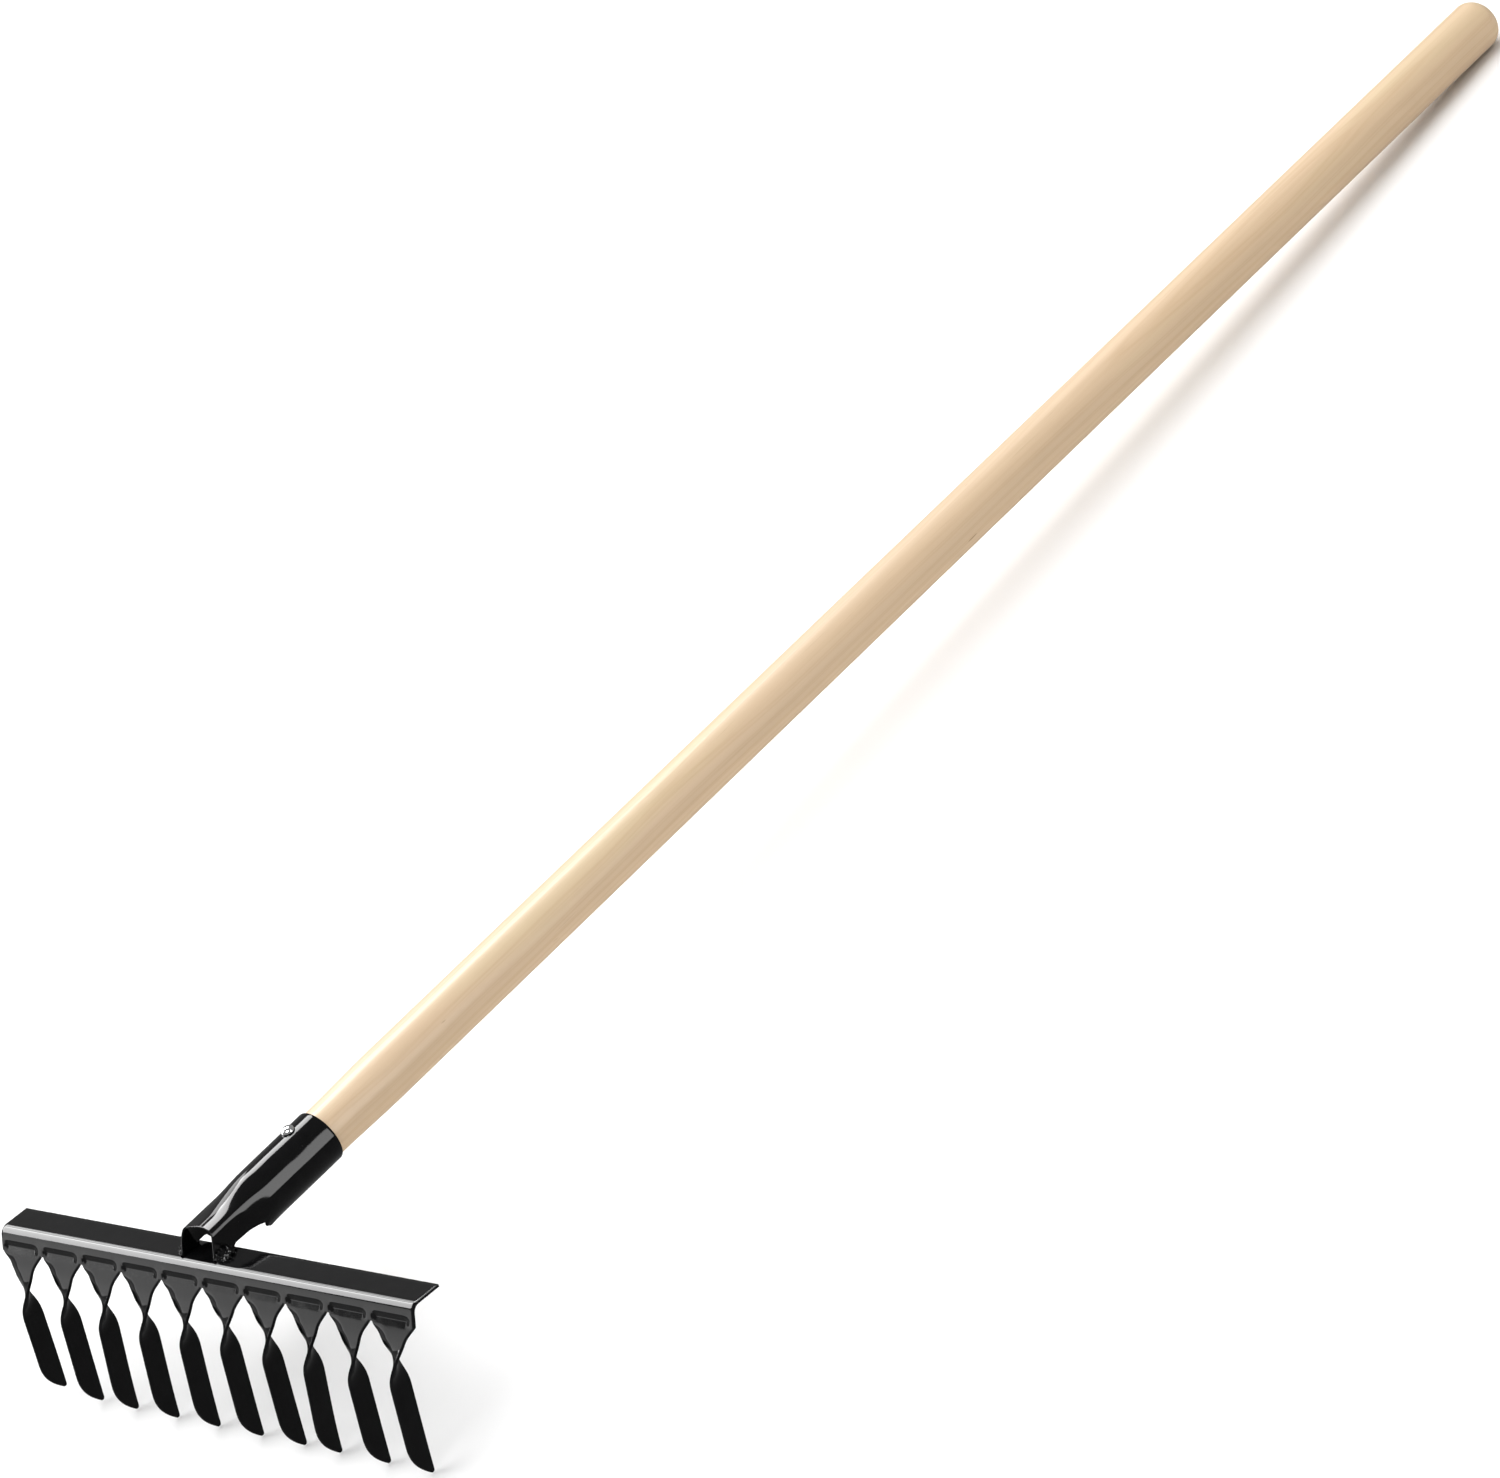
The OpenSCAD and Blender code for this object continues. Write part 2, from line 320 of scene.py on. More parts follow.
# The facet on a root's left: its angle, its crease, as (distance, place across), and where it fades
FACET_ANGLE = math.radians(14)
FACET_LINE = [(-1, -10.5), (0.5, -8.4), (3.7, -4.1), (8.2, -1.0), (11.7, 0.8), (18, 2.5)]
FACET_IN = (-0.5, 3.0)
FACET_OUT = (11.0, 21.0)
FACET_SOFT = 0.4
FACET_REACH = 6.0
# How far each tip leans towards +X, and which tines end early
TINE_LEAN = [3.0, 0.5, -3.4, -2.8, -2.4, -0.8, 0.0, -4.8, -0.6, -0.6]
LEAN_FROM = 8.0
TINE_SHORT = {0: 3.6, 1: 0.6}
# How much later the first tine turns than the last
TWIST_LATE = 1.8
TWIST_WOBBLE = 2.0


def half_width(s, outer):
    """Half the strip's width, which opens to half the pitch at the valley."""
    t = s - VALLEY_S
    gap = PITCH / 2 - BLADE_W / 2
    flare = max(0.0, 1 - t / ROOT_LEN) ** FLARE_POWER
    wide = gap * (1 - flare) + OUTER_EASE * min(1.0, t)
    if not outer:
        wide = math.sqrt(wide * wide + 2 * VALLEY_R * t * math.exp(-t / VALLEY_FADE))
    return PITCH / 2 - wide


def front_reach(s, outer):
    u = max(0.0, (s - TIP_FROM) / (TINE_LEN - TIP_FROM))
    return half_width(s, outer) - (BLADE_W - TIP_ROUND - TIP_LEFT) * u ** TIP_POWER


def rear_reach(s, outer):
    into = max(0.0, (s - TINE_LEN + TIP_ROUND) / TIP_ROUND)
    return half_width(s, outer) - TIP_ROUND * (1 - math.sqrt(max(0.0, 1 - into * into)))


def fold(a, crease, angle):
    """Turns the part of a strip left of the crease backwards: returns (across, through)."""
    d = crease - a
    bent = 0.5 * (d + math.sqrt(d * d + FACET_SOFT * FACET_SOFT)) if d > -FACET_REACH else 0.0
    return a + bent * (1 - math.cos(angle)), -bent * math.sin(angle)


def tine_point(i, t, s):
    """A point of tine i at t from -1 (left edge) to 1 (right edge)."""
    centre = (i + 0.5 - TINES / 2) * PITCH
    left = rear_reach(s, i == 0)
    right = front_reach(s, i == TINES - 1)
    a = mix(-left, right, (t + 1) / 2)
    if s <= 0:
        return bar_point(centre + a, BEND_S + RIDGE_S + s)
    wobble = TWIST_WOBBLE * noise.noise((i * 3.7, 0.0, 0.5))
    angle = between(s, TINE_ANGLES)
    n = outward(angle)
    drawn = 1 - TINE_SHORT.get(i, 0.0) / (TINE_LEN - TWIST_TO)
    y, z = along(tine_path, TINE_RUN, s if s < TWIST_TO else TWIST_TO + (s - TWIST_TO) * drawn)
    late = mix(TWIST_LATE, 0, i / (TINES - 1)) + wobble
    phi = math.radians(90) * ease((s - TWIST_FROM - late) / (TWIST_TO - TWIST_FROM))
    strength = ease((s - FACET_IN[0]) / (FACET_IN[1] - FACET_IN[0]))
    strength *= 1 - ease((s - FACET_OUT[0]) / (FACET_OUT[1] - FACET_OUT[0]))
    a, back = fold(a, between(s, FACET_LINE), FACET_ANGLE * strength)
    c, d = math.cos(phi), math.sin(phi)
    through = a * d + back * c
    sway = TINE_LEAN[i] * ease((s - LEAN_FROM) / (TINE_LEN - LEAN_FROM))
    return (centre + a * c - back * d + sway, y + n[0] * through, z + n[1] * through)


COLUMNS = 20
FLANGE_ROWS, BEND_ROWS, WEB_ROWS = 7, 16, 22
ROOT_ROWS, BLADE_ROWS, TIP_ROWS = 50, 14, 22
BLADE_FROM = 30.0
VALLEY_ROWS = (0.12, 0.35, 0.7)


def spaced(a, b, n):
    """n + 1 evenly spaced values."""
    return [mix(a, b, i / n) for i in range(n + 1)]


def head_sheet():
    """The head's middle surface, from the flange's rear edge to the tips."""
    bar_rows = spaced(0, FLANGE_W, FLANGE_ROWS)[:-1] + spaced(FLANGE_W, BEND_S, BEND_ROWS)[:-1]
    bar_rows += spaced(BEND_S, BEND_S + RIDGE_S + VALLEY_S, WEB_ROWS)
    wide = TINES * COLUMNS + 1
    verts = [bar_point(mix(-TINES * PITCH / 2, TINES * PITCH / 2, j / (wide - 1)), s)
             for s in bar_rows for j in range(wide)]
    faces = [(r * wide + j, r * wide + j + 1, (r + 1) * wide + j + 1, (r + 1) * wide + j)
             for r in range(len(bar_rows) - 1) for j in range(wide - 1)]
    rows = [VALLEY_S + d for d in VALLEY_ROWS]
    rows += spaced(0, BLADE_FROM, ROOT_ROWS) + spaced(BLADE_FROM, TIP_FROM, BLADE_ROWS)[1:]
    rows += [mix(TIP_FROM, TINE_LEN, math.sin(math.radians(90) * k / TIP_ROWS))
             for k in range(1, TIP_ROWS + 1)]
    for i in range(TINES):
        above = [(len(bar_rows) - 1) * wide + i * COLUMNS + k for k in range(COLUMNS + 1)]
        for s in rows:
            here = [len(verts) + k for k in range(COLUMNS + 1)]
            verts += [tine_point(i, -1 + 2 * k / COLUMNS, s) for k in range(COLUMNS + 1)]
            faces += [(above[k], above[k + 1], here[k + 1], here[k]) for k in range(COLUMNS)]
            above = here
    return [(x + BAR_SIDE, y, z) for x, y, z in verts], faces


# ---- the socket ----
SECTOR = 2.0
TUBE_END_ANGLE = 178.0
MORPH_FROM = 39.0
MORPH_TO = 67.0
# The channel's section as flat faces, (angle from the top towards +X, distance from the axis)
SECTION = [(-97, CHANNEL_LEFT + 0.2), (-72, CHANNEL_LEFT + 0.2), (-48, CHANNEL_LEFT + 0.5),
           (-8, CHANNEL_TOP + 0.3), (13, CHANNEL_TOP + 1.1), (52, 13.6), (91, CHANNEL_RIGHT + 0.2)]
SECTION_POWER = 17
CHANNEL_LIMIT = 15.0
# Where the wall ends, as (distance from the rim, angle from the top), on the left and right
LEFT_END = [(50, 156), (56, 140), (61, 125), (63.6, 114), (64.8, 103.5), (66, 101), (69.5, 101),
            (72.5, 108)]
RIGHT_END = [(50, 112), (53, 111), (58, 106.5), (66.8, 106), (68.6, 111.5)]
# Length of the closed tube by angle: its underside is cut back at a slant
TUBE_CUT = [(-178, 42), (-164, 46), (-156, 50), (112, 50), (130, 49), (150, 45.5), (178, 42)]
# The small tab on the cut edge: its angle, its height, and half its width and its length
LIP_ANGLE = 124.0
LIP_SIZE = 0.9
LIP_SPREAD = 9.0
LIP_LEN = 3.0
SOCKET_DENTS = 0.09
DENT_AROUND = 1.4
DENT_ALONG = 0.07
DENT_FADE = 10.0
FOOT_GAP = 0.05
FOOT_FROM = 70.0
MOUTH_LOW = -6.0
MOUTH_TRIES = 4
TUBE_ROWS, CHANNEL_ROWS = 40, 60
flange_top = tuple(p + n * SHEET / 2 for p, n in zip(FLANGE_REAR, outward(FLANGE_ANGLE)))


def foot_height(y):
    """The flange's upper face, level behind its rear edge."""
    return flange_top[1] + max(0.0, flange_top[0] - y) * math.tan(math.radians(-FLANGE_ANGLE))


def channel_radius(angle):
    """Distance from the axis to the channel's outer face, its corners slightly rounded."""
    total = 0.0
    for face, distance in SECTION:
        total += max(0.0, math.cos(angle - math.radians(face)) / distance) ** SECTION_POWER
    return total ** (-1 / SECTION_POWER) if total > 0 else SOCKET_R


def socket_point(angle, y):
    """The socket's outer face at an angle from the top, towards +X, and y along the handle."""
    morph = ease((-y - MORPH_FROM) / (MORPH_TO - MORPH_FROM))
    r = mix(SOCKET_R, min(channel_radius(angle), CHANNEL_LIMIT), morph)
    around = (math.sin(angle) * DENT_AROUND, y * DENT_ALONG, math.cos(angle) * DENT_AROUND)
    r += noise.noise(around) * SOCKET_DENTS * ease(-y / DENT_FADE)
    return r * math.sin(angle), y, r * math.cos(angle)


def channel_column(first, y):
    """The angle of a column that starts at this angle on the tube's end, further along."""
    ends = LEFT_END if first < 0 else RIGHT_END
    return first * between(-y, ends) / ends[0][1]


def socket_shell():
    """The socket's outer surface: the closed tube, then the channel whose walls end on the flange."""
    angles = [SECTOR * k - TUBE_END_ANGLE for k in range(round(2 * TUBE_END_ANGLE / SECTOR) + 1)]
    tube_rows = spaced(0, -1, TUBE_ROWS)
    wide = len(angles)
    verts, faces = [], []
    for u in tube_rows:
        for a in angles:
            y = u * between(a, TUBE_CUT)
            x, yy, z = socket_point(math.radians(a), y)
            near = ease(1 - abs(a - LIP_ANGLE) / LIP_SPREAD) * ease((-y - TUBE_LEN + LIP_LEN) / LIP_LEN)
            scale = 1 + near * LIP_SIZE / SOCKET_R
            verts.append((x * scale, yy - near * LIP_SIZE, z * scale))
    faces += [(r * wide + k, r * wide + k + 1, (r + 1) * wide + k + 1, (r + 1) * wide + k)
              for r in range(len(tube_rows) - 1) for k in range(wide - 1)]
    inside = [k for k, a in enumerate(angles) if -LEFT_END[0][1] <= a <= RIGHT_END[0][1]]
    above = [(len(tube_rows) - 1) * wide + k for k in inside]
    for u in spaced(0, 1, CHANNEL_ROWS)[1:]:
        here = []
        for k in inside:
            y = mix(-TUBE_LEN, -MOUTH_AT, u)
            for _ in range(MOUTH_TRIES):
                z = socket_point(math.radians(channel_column(angles[k], y)), y)[2]
                mouth = -MOUTH_AT - (CHANNEL_TOP - max(z, MOUTH_LOW)) * MOUTH_SLOPE
                y = mix(-TUBE_LEN, mouth, u)
            x, y, z = socket_point(math.radians(channel_column(angles[k], y)), y)
            foot = foot_height(y) + FOOT_GAP
            at_end = k in (inside[0], inside[-1]) and y < -FOOT_FROM
            if y < flange_top[0] and (at_end or z < foot):
                z = foot
            here.append(len(verts))
            verts.append((x, y, z))
        faces += [(above[k], above[k + 1], here[k + 1], here[k]) for k in range(len(inside) - 1)]
        above = here
    return verts, faces


# ---- weld beads ----
WELD_RINGS, WELD_ARC = 44, 12
WELD_SINK = 0.35
WELD_WAVES = 3.5
WELD_RIPPLE = 0.12
WELD_LUMP = 0.4
WELD_BUMP = 0.30


def weld_bead(side, start, length, width, height, seed):
    """A lumpy fillet between the channel's wall and the flange, closed at both ends."""
    wall = (CHANNEL_LEFT if side < 0 else CHANNEL_RIGHT) - 0.5
    verts, faces = [], []
    for k in range(WELD_RINGS + 1):
        u = k / WELD_RINGS
        end = math.sqrt(max(0.0, 1 - (2 * u - 1) ** 2)) ** 0.7
        y = flange_top[0] - start - length * u
        ripple = 1 - WELD_RIPPLE + WELD_RIPPLE * abs(math.sin(math.pi * WELD_WAVES * u + seed))
        lump = 1 + WELD_LUMP * noise.noise((u * 4.1 + seed, seed, 0.3))
        size = max(0.06, end * ripple * lump)
        base = foot_height(y) - WELD_SINK
        ring = [(side * wall, y, base)]
        for j in range(WELD_ARC + 1):
            a = math.radians(90) * j / WELD_ARC
            bump = 1 + WELD_BUMP * noise.noise((u * 9 + seed, j * 0.35, seed))
            out = wall + width * size * bump * math.cos(a) ** 1.15
            ring.append((side * out, y, base + height * size * bump * math.sin(a) ** 1.15))
        verts += ring
    n = WELD_ARC + 2
    for k in range(WELD_RINGS):
        faces += [(k * n + j, k * n + (j + 1) % n, (k + 1) * n + (j + 1) % n, (k + 1) * n + j)
                  for j in range(n)]
    faces += [tuple(range(n)), tuple(WELD_RINGS * n + j for j in range(n))]
    return verts, faces


# ---- turned shapes ----
def turned(outline, around, ripple=None):
    """Skin of an outline of (radius, along Y) turned round the handle's axis, closed by end points."""
    verts, faces = [(0, outline[0][1], 0)], []
    rings = outline[1:-1]
    for r, y in rings:
        for k in range(around):
            a = math.radians(360) * k / around
            grow = ripple(a, y) if ripple else 0.0
            verts.append(((r + grow) * math.sin(a), y, (r + grow) * math.cos(a)))
    last = len(verts)
    verts.append((0, outline[-1][1], 0))
    for k in range(around):
        n = (k + 1) % around
        faces.append((0, 1 + n, 1 + k))
        faces.append((last, last - around + k, last - around + n))
        for i in range(len(rings) - 1):
            a, b = 1 + i * around, 1 + (i + 1) * around
            faces.append((a + k, a + n, b + n, b + k))
    return verts, faces


SEAT_GAP = 0.15
SEAT_TIP = (2.2, 0.0)
SEAT_CHAMFER = (1.5, 1.0)
SEAT_TAPER_LEN = 11.0
TAPER_RINGS, HANDLE_RINGS, DOME_RINGS = 12, 60, 16


def handle_outline():
    """The handle's outline, from its hidden tapered end in the socket to its dome."""
    seat_r = SOCKET_R - SOCKET_WALL - SEAT_GAP
    outline = [(0, -SEAT_LEN)] + [(seat_r - less, -SEAT_LEN + up) for less, up in (SEAT_TIP, SEAT_CHAMFER)]
    outline += [(seat_r, -SEAT_LEN + SEAT_TAPER_LEN), (seat_r, -1.0)]
    outline += [(mix(RIM_HANDLE_R, HANDLE_R, ease(u)), u * TAPER_LEN) for u in spaced(0, 1, TAPER_RINGS)]
    outline += [(HANDLE_R, y) for y in spaced(TAPER_LEN, HANDLE_LEN - DOME_LEN, HANDLE_RINGS)[1:]]
    for k in range(1, DOME_RINGS):
        a = math.radians(90) * k / DOME_RINGS
        outline.append((HANDLE_R * math.cos(a), HANDLE_LEN - DOME_LEN * (1 - math.sin(a))))
    return outline + [(0, HANDLE_LEN)]


def handle_ripple(angle, y):
    """Faint hand-sanded unevenness, always inwards."""
    fade = ease(y / 60)
    wave = noise.noise((math.sin(angle) * 0.8, y * 0.012, math.cos(angle) * 0.8))
    return -0.06 * (1 + wave) * fade


NAIL_SHANK_R = 1.4
NAIL_SHANK_LEN = 4.0
NAIL_RIM_H = 0.2
NAIL_RINGS = 12


def nail_skin():
    """The nail's domed head and the start of its shank."""
    outline = [(0, -NAIL_SHANK_LEN), (NAIL_SHANK_R, -NAIL_SHANK_LEN), (NAIL_SHANK_R, -NAIL_RIM_H)]
    outline += [(NAIL_HEAD_R - 0.25, -0.05), (NAIL_HEAD_R, NAIL_RIM_H)]
    for k in range(1, NAIL_RINGS):
        a = math.radians(90) * k / NAIL_RINGS
        rise = NAIL_RIM_H + (NAIL_HEAD_H - NAIL_RIM_H) * math.sin(a)
        outline.append((NAIL_HEAD_R * math.cos(a) ** 0.9, rise))
    outline.append((0, NAIL_HEAD_H))
    verts, faces = turned(outline, 48)
    return [(x, z - NAIL_AT, y + SOCKET_R) for x, y, z in verts], faces


# ---- materials ----
class Nodes:
    """A short way to write a node tree."""

    def __init__(self, name):
        self.material = bpy.data.materials.new(name)
        self.material.use_nodes = True
        self.tree = self.material.node_tree
        self.shader = self.tree.nodes["Principled BSDF"]

    def add(self, kind, links=None, **values):
        node = self.tree.nodes.new(kind)
        for key, value in values.items():
            setattr(node, key, value)
        for key, value in (links or {}).items():
            if isinstance(value, bpy.types.NodeSocket):
                self.tree.links.new(value, node.inputs[key])
            else:
                node.inputs[key].default_value = value
        return node

    def place(self, scale, rotation=(0, 0, 0)):
        coord = self.add("ShaderNodeTexCoord")
        return self.add("ShaderNodeMapping", {"Vector": coord.outputs["Object"], "Scale": scale,
                                              "Rotation": rotation}).outputs["Vector"]

    def noise(self, vector, scale, detail=3.0, rough=0.5, distortion=0.0):
        return self.add("ShaderNodeTexNoise", {"Vector": vector, "Scale": scale, "Detail": detail,
                                               "Roughness": rough, "Distortion": distortion})

    def ramp(self, value, stops):
        node = self.add("ShaderNodeValToRGB", {"Fac": value})
        ramp = node.color_ramp
        while len(ramp.elements) < len(stops):
            ramp.elements.new(0.5)
        for element, (place, colour) in zip(ramp.elements, stops):
            element.position = place
            element.color = (*colour, 1) if isinstance(colour, tuple) else (colour,) * 3 + (1,)
        return node.outputs["Color"]

    def blend(self, factor, a, b, kind="MIX"):
        node = self.add("ShaderNodeMix", data_type="RGBA", blend_type=kind)
        for key, value in ((0, factor), (6, a), (7, b)):
            if isinstance(value, bpy.types.NodeSocket):
                self.tree.links.new(value, node.inputs[key])
            else:
                node.inputs[key].default_value = (*value, 1) if isinstance(value, tuple) else value
        return node.outputs[2]

    def math(self, kind, a, b=0.5):
        node = self.add("ShaderNodeMath", operation=kind)
        for key, value in ((0, a), (1, b)):
            if isinstance(value, bpy.types.NodeSocket):
                self.tree.links.new(value, node.inputs[key])
            else:
                node.inputs[key].default_value = value
        return node.outputs[0]

    def bump(self, height, distance, strength=1.0, normal=None):
        links = {"Height": height, "Distance": distance, "Strength": strength}
        if normal is not None:
            links["Normal"] = normal
        return self.add("ShaderNodeBump", links).outputs["Normal"]

    def set(self, **values):
        for key, value in values.items():
            socket = self.shader.inputs[key.replace("_", " ")]
            if isinstance(value, bpy.types.NodeSocket):
                self.tree.links.new(value, socket)
            else:
                socket.default_value = value


def enamel(name, waves, wave_scale, peel, gloss):
    """Glossy black stove enamel on steel, with slight waves, orange peel and dust."""
    m = Nodes(name)
    v = m.place((1, 1, 1))
    wave = m.noise(v, wave_scale, 2.0, 0.45)
    fine = m.noise(v, 900.0, 2.0, 0.5)
    cloud = m.noise(v, 130.0, 4.0, 0.6)
    speck = m.add("ShaderNodeTexVoronoi", {"Vector": v, "Scale": 420.0}, feature="F1")
    dust = m.ramp(speck.outputs["Distance"], [(0.0, 1.0), (0.09, 1.0), (0.14, 0.0)])
    where = m.ramp(m.noise(v, 75.0, 3.0, 0.6).outputs["Fac"], [(0.0, 0.0), (0.58, 0.0), (0.72, 1.0)])
    dust = m.math("MULTIPLY", dust, where)
    tone = m.ramp(cloud.outputs["Fac"], [(0.25, (0.0015, 0.0015, 0.0017)),
                                         (0.75, (0.0040, 0.0040, 0.0043))])
    m.set(Base_Color=m.blend(dust, tone, (0.016, 0.016, 0.017)))
    rough = m.ramp(cloud.outputs["Fac"], [(0.2, gloss), (0.8, gloss + 0.05)])
    m.set(Roughness=m.math("ADD", rough, m.math("MULTIPLY", dust, 0.12)))
    normal = m.bump(wave.outputs["Fac"], waves)
    m.set(Normal=m.bump(fine.outputs["Fac"], peel, 1.0, normal))
    m.set(IOR=1.26)
    return m.material


def varnished_wood():
    """Pale close-grained wood under a thin clear varnish; its grain runs along the handle."""
    m = Nodes("varnished_wood")
    world_to_handle = PLACE.inverted()
    coord = m.add("ShaderNodeMapping", {"Vector": m.add("ShaderNodeTexCoord").outputs["Object"],
                                        "Location": world_to_handle.to_translation(),
                                        "Rotation": world_to_handle.to_euler()}).outputs["Vector"]

    def stretched(vector, across, along_grain, detail, rough):
        scaled = m.add("ShaderNodeMapping", {"Vector": vector, "Scale": (across, along_grain, across)})
        return m.noise(scaled.outputs["Vector"], 1.0, detail, rough).outputs["Fac"]

    warp = m.noise(m.add("ShaderNodeMapping", {"Vector": coord, "Scale": (9, 2.2, 9)}).outputs["Vector"],
                   1.0, 3.0, 0.5)
    shift = m.add("ShaderNodeVectorMath", {0: warp.outputs["Color"], 1: (0.5, 0.5, 0.5)},
                  operation="SUBTRACT").outputs[0]
    shift = m.add("ShaderNodeVectorMath", {0: shift, "Scale": 0.012}, operation="SCALE").outputs[0]
    bent = m.add("ShaderNodeVectorMath", {0: coord, 1: shift}, operation="ADD").outputs[0]
    rings = m.add("ShaderNodeMapping", {"Vector": bent, "Location": (0.031, 0, 0.044),
                                        "Scale": (1, 0.012, 1)}).outputs["Vector"]
    ring = m.add("ShaderNodeTexWave", {"Vector": rings, "Scale": 105.0, "Distortion": 2.2, "Detail": 3.0,
                                       "Detail Scale": 1.5, "Detail Roughness": 0.55},
                 wave_type="RINGS", rings_direction="Y", wave_profile="SIN")
    thin = stretched(bent, 1500, 24, 3.0, 0.6)
    streak = stretched(bent, 330, 5, 4.0, 0.6)
    patch = stretched(bent, 60, 6, 3.0, 0.5)
    base = m.ramp(patch, [(0.3, (0.650, 0.478, 0.304)), (0.5, (0.680, 0.500, 0.322)),
                          (0.7, (0.668, 0.516, 0.320))])
    late = m.ramp(ring.outputs["Fac"], [(0.0, 0.0), (0.62, 0.05), (0.9, 0.30), (1.0, 0.12)])
    base = m.blend(late, base, (0.540, 0.355, 0.190))
    lines = m.ramp(streak, [(0.0, 0.0), (0.5, 0.0), (0.68, 0.22)])
    base = m.blend(lines, base, (0.540, 0.362, 0.205))
    pores = m.ramp(thin, [(0.0, 0.0), (0.64, 0.0), (0.78, 0.26)])
    base = m.blend(pores, base, (0.400, 0.250, 0.130))
    fleck = stretched(coord, 300, 50, 1.0, 0.4)
    marks = m.ramp(fleck, [(0.0, 0.0), (0.80, 0.0), (0.83, 0.6)])
    base = m.blend(marks, base, (0.260, 0.130, 0.060))
    m.set(Base_Color=base)
    m.set(Roughness=m.ramp(streak, [(0.3, 0.42), (0.7, 0.56)]))
    normal = m.bump(thin, 0.00002)
    m.set(Normal=m.bump(streak, 0.00006, 1.0, normal))
    m.set(Coat_Weight=0.25, Coat_Roughness=0.25, Coat_IOR=1.4, IOR=1.4)
    return m.material


def nail_steel():
    """Bright zinc-plated steel with fine scratches."""
    m = Nodes("nail_steel")
    v = m.place((1, 1, 1))
    cloud = m.noise(v, 700.0, 4.0, 0.6)
    fine = m.noise(m.place((6000, 900, 6000)), 1.0, 2.0, 0.5)
    m.set(Metallic=1.0)
    m.set(Base_Color=m.ramp(cloud.outputs["Fac"], [(0.3, (0.55, 0.56, 0.57)), (0.7, (0.78, 0.78, 0.77))]))
    m.set(Roughness=m.ramp(cloud.outputs["Fac"], [(0.3, 0.06), (0.7, 0.12)]))
    m.set(Normal=m.bump(fine.outputs["Fac"], 0.00001))
    return m.material


def pale_floor():
    """Plain matt near-white floor."""
    m = Nodes("pale_floor")
    cloud = m.noise(m.place((1, 1, 1)), 2.0, 4.0, 0.5)
    grit = m.noise(m.place((1, 1, 1)), 900.0, 2.0, 0.5)
    m.set(Base_Color=m.ramp(cloud.outputs["Fac"], [(0.3, (0.86, 0.86, 0.86)), (0.7, (0.88, 0.88, 0.88))]))
    m.set(Roughness=m.ramp(grit.outputs["Fac"], [(0.3, 0.9), (0.7, 1.0)]))
    m.set(IOR=1.2)
    return m.material


ENAMEL = enamel("black_enamel", 0.00008, 55.0, 0.000002, 0.05)
SOCKET_ENAMEL = enamel("black_enamel_socket", 0.00006, 55.0, 0.000002, 0.04)
WELD_ENAMEL = enamel("black_enamel_weld", 0.0012, 260.0, 0.00001, 0.05)
WOOD = varnished_wood()
NAIL = nail_steel()

# ---- build the pieces ----
head_nodes = ["tine_bar"] + ["tine_%02d" % (i + 1) for i in range(TINES)]
finish_piece("rake_head", *sheet_solid(*head_sheet(), SHEET / 2, -SHEET / 2, EDGE_ROUND),
             "black_enamel", head_nodes, ENAMEL)
finish_piece("handle_socket", *sheet_solid(*socket_shell(), SOCKET_WALL, 0.0, EDGE_ROUND),
             "black_enamel", ["socket"], SOCKET_ENAMEL)
finish_piece("left_weld", *weld_bead(-1, 4.2, 8.4, 6.0, 3.6, 1.7), "black_enamel",
             ["weld_left"], WELD_ENAMEL, sharp=70)
finish_piece("right_weld", *weld_bead(1, 0.6, 11.6, 6.2, 4.2, 4.3), "black_enamel",
             ["weld_right"], WELD_ENAMEL, sharp=70)
finish_piece("socket_nail", *nail_skin(), "nail_steel", ["nail"], NAIL)
finish_piece("wooden_handle", *turned(handle_outline(), 128, handle_ripple), "varnished_wood",
             ["handle"], WOOD, sharp=50)

# ---- stage ----
FLOOR_HALF = 6.0
floor_mesh = bpy.data.meshes.new("floor")
floor_grid = 12
floor_lines = spaced(-FLOOR_HALF, FLOOR_HALF, floor_grid)
floor_verts = [(x, y, 0) for y in floor_lines for x in floor_lines]
floor_wide = floor_grid + 1
floor_faces = [(j * floor_wide + i, j * floor_wide + i + 1,
                (j + 1) * floor_wide + i + 1, (j + 1) * floor_wide + i)
               for j in range(floor_grid) for i in range(floor_grid)]
floor_mesh.from_pydata(floor_verts, [], floor_faces)
floor = bpy.data.objects.new("floor", floor_mesh)
bpy.context.collection.objects.link(floor)
floor.data.materials.append(pale_floor())
# The enamel would otherwise mirror the white floor, which the photograph doesn't show
floor.visible_glossy = False

# ---- camera ----
CAMERA_AIM = Vector((0.0016, -0.0835, 0.0470))
CAMERA_AZIMUTH = 59.760
CAMERA_ELEVATION = 27.214
CAMERA_ROLL = -32.794
CAMERA_DISTANCE = 3.5477
CAMERA_LENS = 189.67


def toward(azimuth, elevation):
    """Direction from the object to a place at this azimuth and elevation."""
    a, e = math.radians(azimuth), math.radians(elevation)
    return Vector((math.sin(a) * math.cos(e), -math.cos(a) * math.cos(e), math.sin(e)))


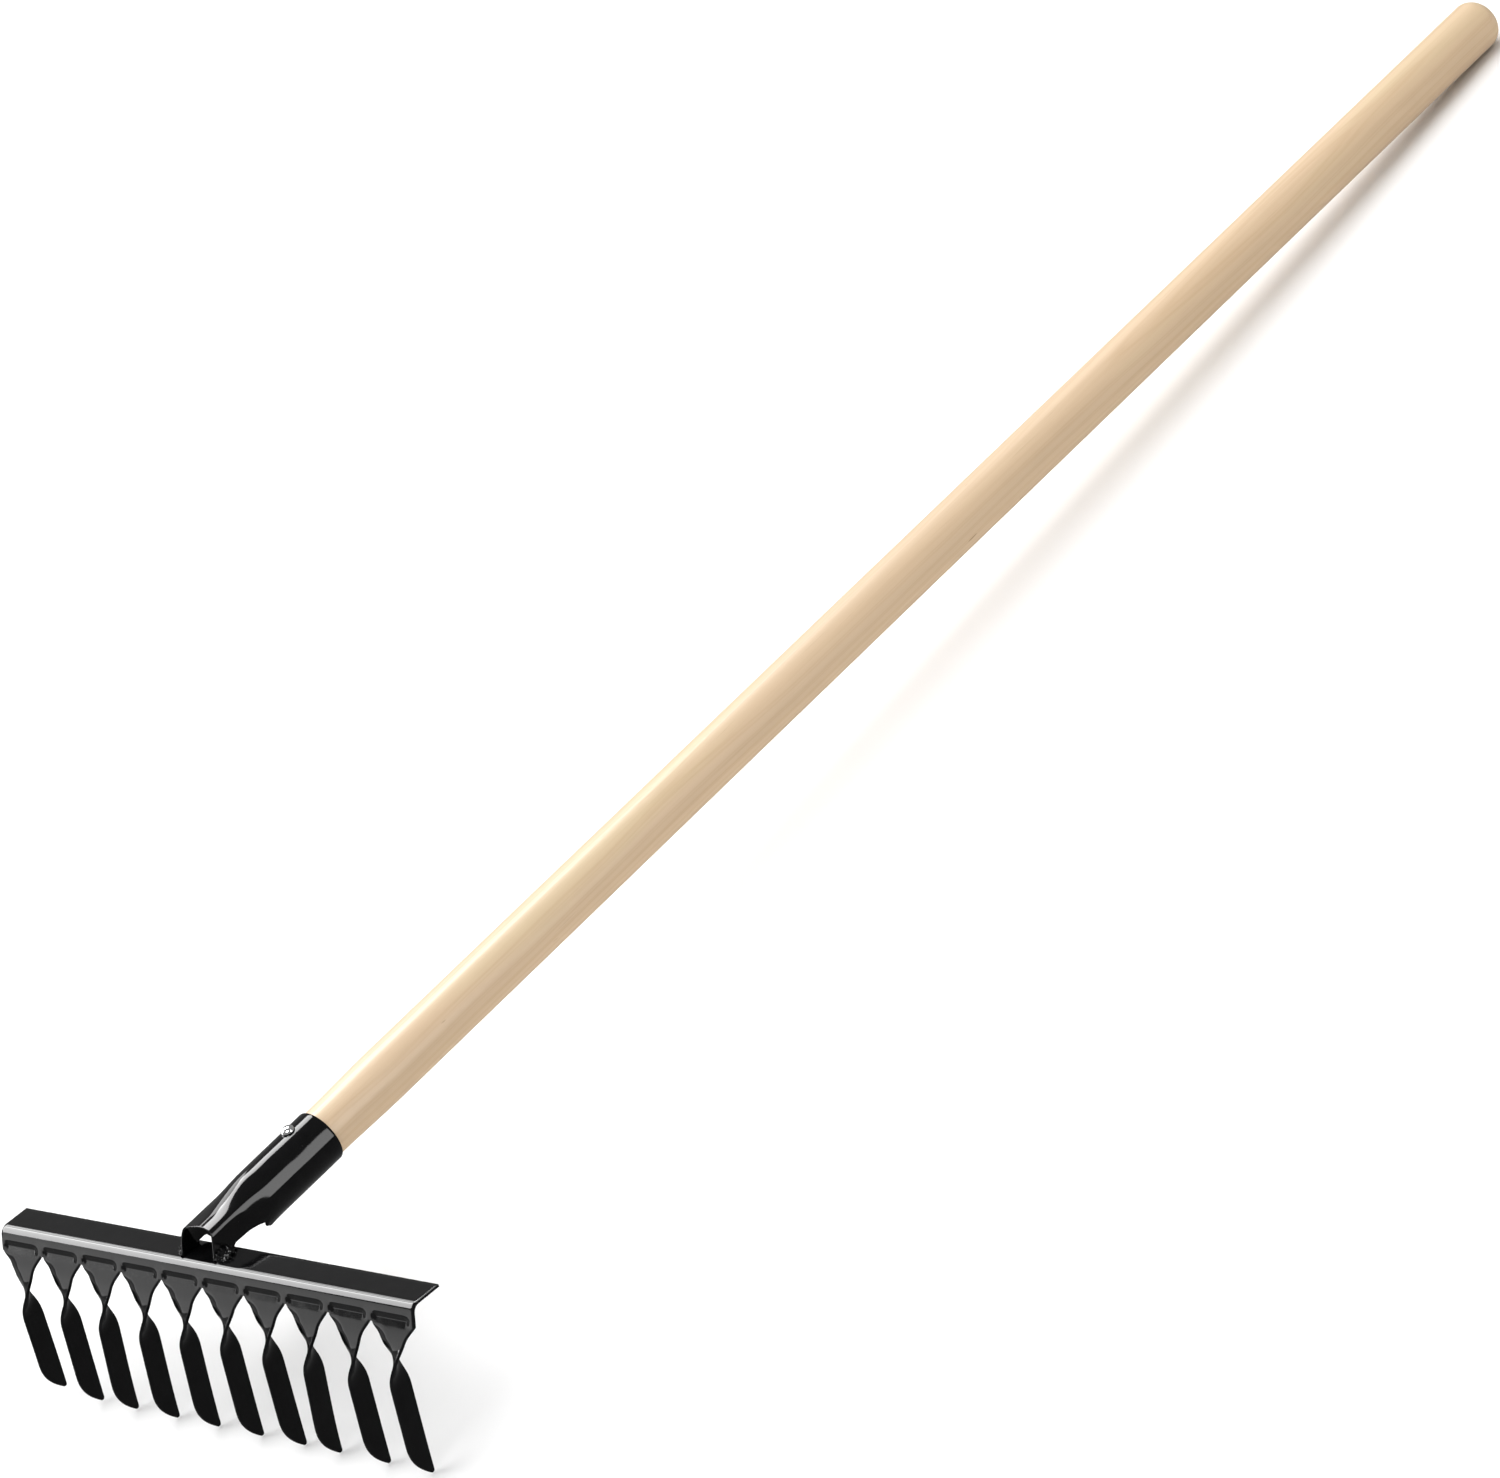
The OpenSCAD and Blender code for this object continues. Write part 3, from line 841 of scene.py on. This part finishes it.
lens = bpy.data.cameras.new("camera")
lens.sensor_fit = "HORIZONTAL"
lens.sensor_width = 36.0
lens.lens = CAMERA_LENS
lens.clip_start, lens.clip_end = 0.05, 50.0
camera = bpy.data.objects.new("camera", lens)
bpy.context.collection.objects.link(camera)
back = toward(CAMERA_AZIMUTH, CAMERA_ELEVATION)
camera.rotation_mode = "QUATERNION"
turn = (-back).to_track_quat("-Z", "Y").to_matrix() @ Matrix.Rotation(math.radians(CAMERA_ROLL), 3, "Z")
camera.rotation_quaternion = turn.to_quaternion()
camera.location = CAMERA_AIM + back * CAMERA_DISTANCE
bpy.context.scene.camera = camera


# ---- lights ----
HEAD_SPOT = (0, -0.45, 0.06)


def panel(name, azimuth, elevation, distance, span, radiance, aim=HEAD_SPOT):
    """A rectangular soft light that spans this many degrees across and up, seen from its aim."""
    data = bpy.data.lights.new(name, "AREA")
    data.shape = "RECTANGLE"
    data.size, data.size_y = [2 * distance * math.tan(math.radians(d / 2)) for d in span]
    data.energy = radiance * math.pi * data.size * data.size_y
    lamp = bpy.data.objects.new(name, data)
    bpy.context.collection.objects.link(lamp)
    way = toward(azimuth, elevation)
    lamp.location = Vector(aim) + way * distance
    lamp.rotation_mode = "QUATERNION"
    lamp.rotation_quaternion = way.to_track_quat("Z", "Y")
    return lamp


def reflector(*details):
    """A panel that only draws highlights on the glossy surfaces."""
    lamp = panel(*details)
    lamp.visible_diffuse = False
    return lamp


world = bpy.data.worlds.new("studio")
world.use_nodes = True
bpy.context.scene.world = world
world.node_tree.nodes["Background"].inputs["Color"].default_value = (1, 1, 1, 1)
world.node_tree.nodes["Background"].inputs["Strength"].default_value = 0.34
overhead = panel("overhead_light", -85, 66, 3.0, (84, 84), 1.95, (0, 0, 0))
overhead.visible_glossy = False
ceiling = panel("ceiling_light", 0, 90, 4.0, (100, 100), 0.50, (0, 0, 0))
ceiling.visible_glossy = False
# The bright band on the head's bend, from its flange side to its web side
reflector("band_rear", -113.0, 35, 2.8, (10.5, 21), 6.8)
reflector("band_middle", -102.0, 35, 2.8, (12.0, 24), 10.0)
reflector("band_front", -81.5, 34, 2.8, (29.0, 28), 17.0)
# The dim field on the web and the tine roots
reflector("web_fill", -52, 14, 2.8, (26, 24), 2.2)
# The glints on the right weld
reflector("weld_glint", 50, 62, 2.8, (24, 24), 36.0)
# The bright and the grey strip along the socket
reflector("strip_top", -129, 47, 2.8, (22, 18), 22.0, (-0.003, -0.40, 0.08))
reflector("strip_side", 114, 12, 1.3, (13, 40), 10.5, (-0.003, -0.40, 0.08))

bpy.context.scene.view_settings.view_transform = "Standard"
